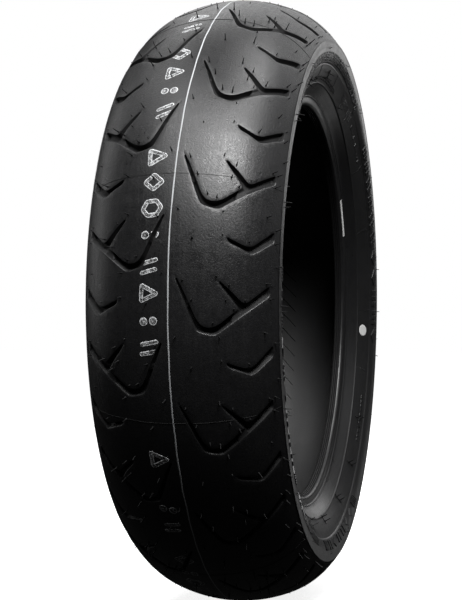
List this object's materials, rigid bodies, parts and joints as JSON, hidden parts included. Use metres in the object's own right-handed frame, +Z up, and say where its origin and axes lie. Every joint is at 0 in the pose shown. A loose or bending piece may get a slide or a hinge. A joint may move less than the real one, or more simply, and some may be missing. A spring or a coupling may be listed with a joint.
{
  "type": "motorcycle tire",
  "caption": "Rear motorcycle tire: wide rounded tread with long curved grooves, low sidewalls and wire beads that seat on a drop-centre rim.",
  "frame": {"origin": "wheel centre: on the axle line, midway between the two beads", "axes": "+Y along the axle towards the side with the balance dot, +Z up, +X towards the side of the tread that carries the paint marks"},
  "size_m": [0.6223, 0.1814, 0.6222],
  "materials": {
    "tread_rubber": "satin",
    "base_rubber": "matt",
    "sidewall_rubber": "satin",
    "chafer_rubber": "satin",
    "liner_rubber": "satin",
    "bead_rubber": "matt",
    "nylon_cord": "rubberised cord",
    "belt_cord": "rubberised cord",
    "ply_cord": "rubberised cord",
    "bead_wire": "bronze coated",
    "white_paint": "matt",
    "label": "matt"
  },
  "bodies": {
    "root": {"tread_cap": "tread_rubber", "tread_base": "base_rubber", "tread_wing_left": "sidewall_rubber", "tread_wing_right": "sidewall_rubber", "cap_ply": "nylon_cord", "belt_outer": "belt_cord", "belt_inner": "belt_cord", "belt_cushion_left": "base_rubber", "belt_cushion_right": "base_rubber", "carcass_ply_outer": "ply_cord", "carcass_ply_inner": "ply_cord", "inner_liner": "liner_rubber", "bead_core_left": "bead_wire", "bead_core_right": "bead_wire", "bead_wrap_left": "bead_rubber", "bead_wrap_right": "bead_rubber", "bead_filler_left": "bead_rubber", "bead_filler_right": "bead_rubber", "chafer_left": "chafer_rubber", "chafer_right": "chafer_rubber", "sidewall_left": "sidewall_rubber", "sidewall_right": "sidewall_rubber", "centre_stripe": "white_paint", "batch_marks": "white_paint", "balance_dot": "white_paint", "bead_label": "label"}
  },
  "joints": []
}
